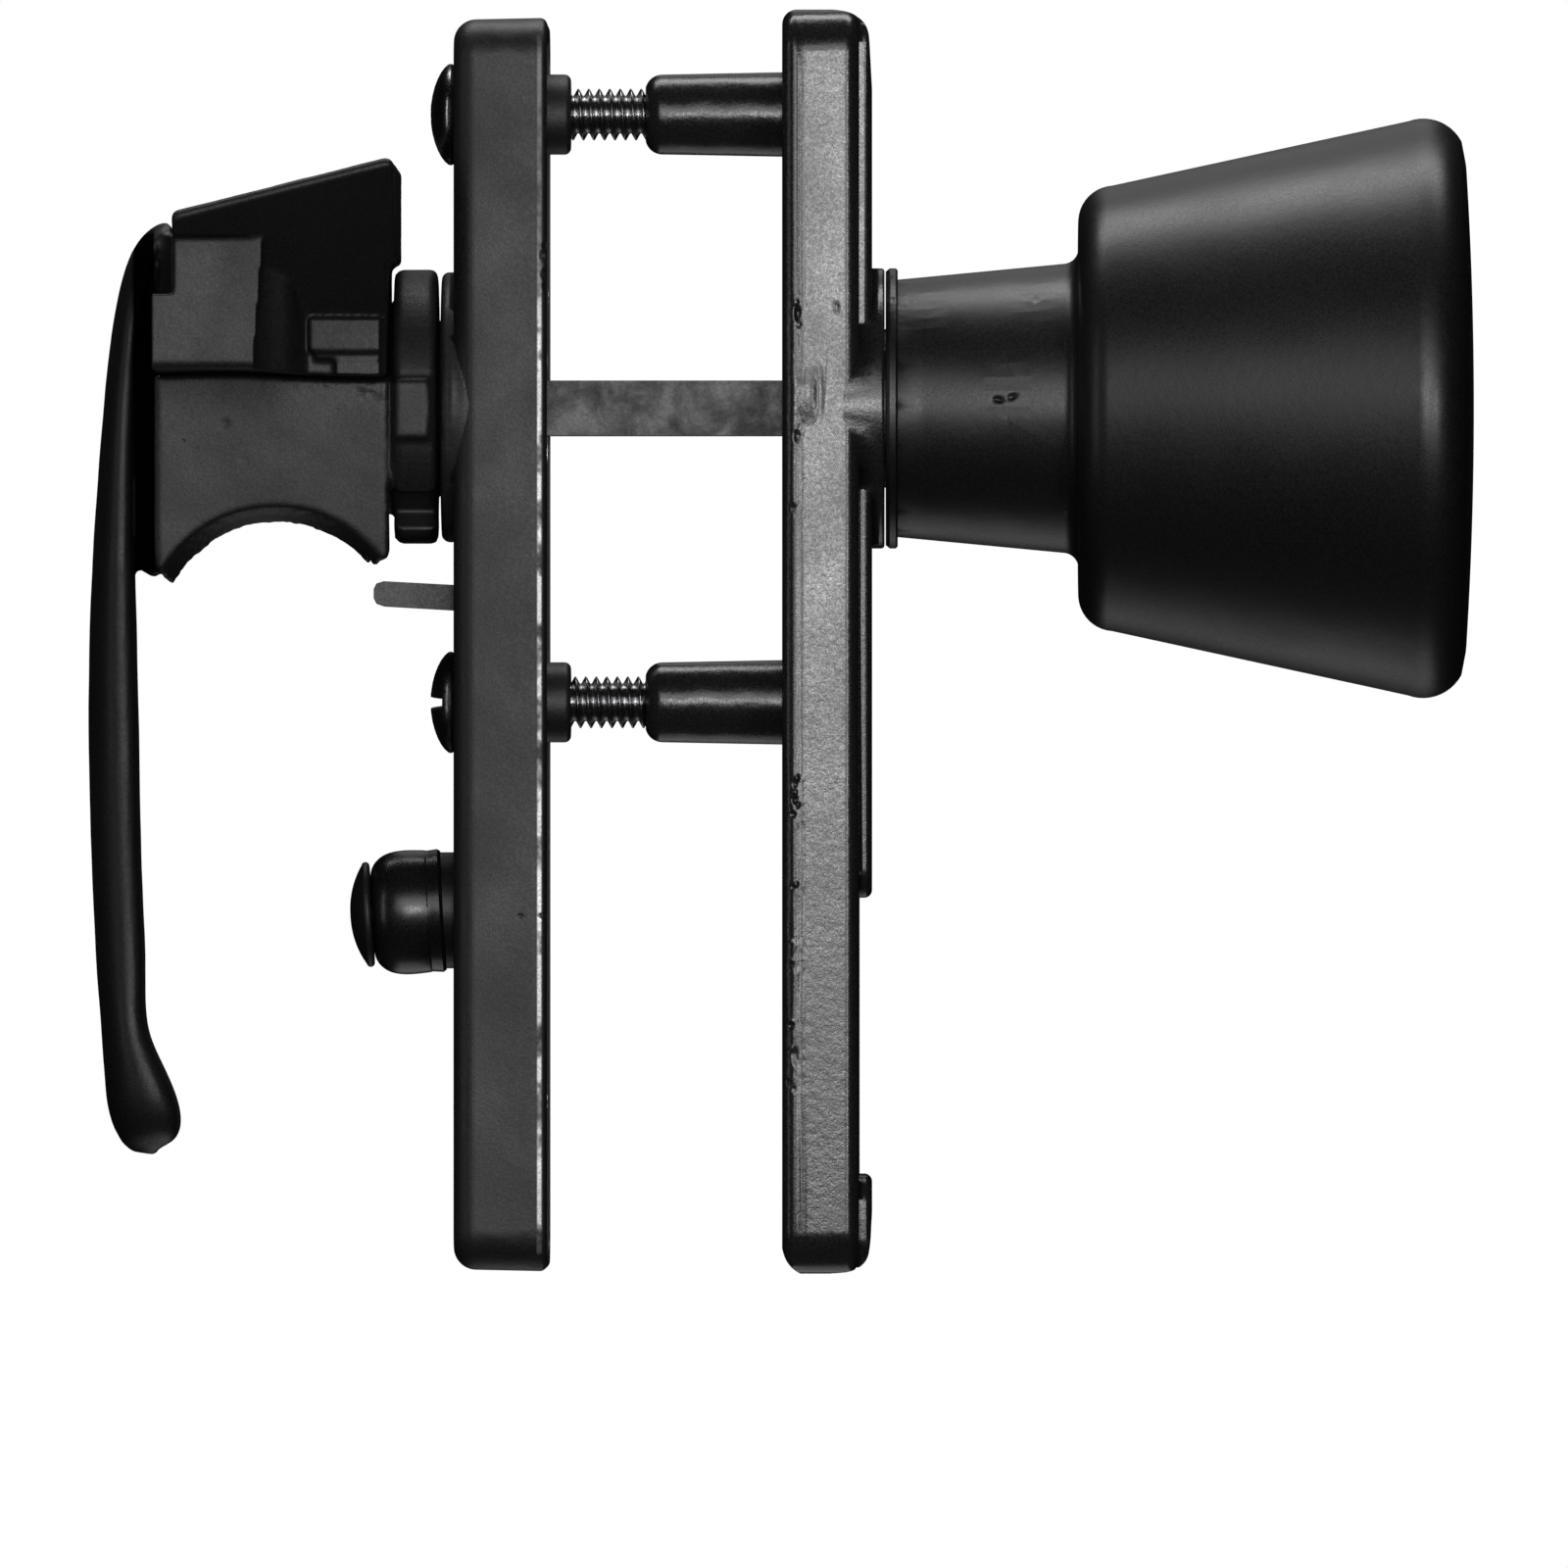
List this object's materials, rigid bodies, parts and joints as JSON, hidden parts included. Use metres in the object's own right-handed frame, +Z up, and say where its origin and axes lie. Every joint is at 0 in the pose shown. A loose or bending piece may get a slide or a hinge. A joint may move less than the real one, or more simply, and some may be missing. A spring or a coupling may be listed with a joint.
{
  "type": "screen door latch",
  "caption": "Through-door latch: inside lever with a hooked nose and a sliding lock button, square spindle, and an outside knob on a plate with threaded posts.",
  "frame": {"origin": "On the spindle axis, in the plane where the inside plate meets the door's inside face.", "axes": "+X runs through the door to the outside knob, +Z is up along the plates, +Y completes the right-handed frame; the hooked nose points to -Y, the jamb side."},
  "size_m": [0.1047, 0.0439, 0.0952],
  "materials": {
    "plate_paint": "satin black paint with a fine grain",
    "outside_paint": "satin black paint with a fine grain, a little shinier",
    "handle_paint": "satin black paint over a cast surface with pits",
    "nose_paint": "satin black paint over a cast surface",
    "knob_paint": "smooth satin black paint",
    "lock_paint": "satin black paint on steel",
    "button_plastic": "moulded black, semi-gloss",
    "screw_steel": "dark zinc plated steel",
    "spindle_steel": "black oxidised steel",
    "zinc": "bare zinc casting",
    "spring_steel": "bright spring steel",
    "sheet_steel": "zinc plated sheet"
  },
  "bodies": {
    "case": {"inside_escutcheon": "plate_paint", "inside_back_plate": "sheet_steel", "mounting_screws": "screw_steel", "outside_escutcheon": "outside_paint", "handle_return_spring": "spring_steel", "lock_detent_spring": "spring_steel"},
    "handle": {"latch_handle": "handle_paint", "latch_nose": "nose_paint", "nose_pin": "sheet_steel", "hub_washer": "sheet_steel", "hub_retaining_ring": "spring_steel"},
    "knob": {"knob_body": "knob_paint", "knob_face_cap": "knob_paint", "knob_core": "zinc", "knob_thrust_washer": "sheet_steel", "knob_retaining_ring": "spring_steel", "spindle": "spindle_steel"},
    "lock": {"lock_slide": "lock_paint", "lock_button": "button_plastic", "button_washer": "lock_paint", "lock_stem": "lock_paint"}
  },
  "joints": [
    {"name": "handle_turn", "type": "hinge", "parent": "case", "child": "handle", "pos_m": [-0.005, 0, 0], "axis": [-1, 0, 0], "range_deg": [0, 40], "stiffness_Nm_per_rad": 0.25, "springref_deg": -20.05, "deforming": ["handle_return_spring"]},
    {"name": "knob_turn", "type": "hinge", "parent": "case", "child": "knob", "pos_m": [0.0235, 0, 0], "axis": [-1, 0, 0], "range_deg": [0, 40]},
    {"name": "lock_slide_up", "type": "slide", "parent": "case", "child": "lock", "axis": [0, 0, 1], "range_m": [0, 0.0046], "deforming": ["lock_detent_spring"]}
  ],
  "couplings": [
    {"joint": "handle_turn", "follows": "knob_turn", "ratio": 1}
  ]
}
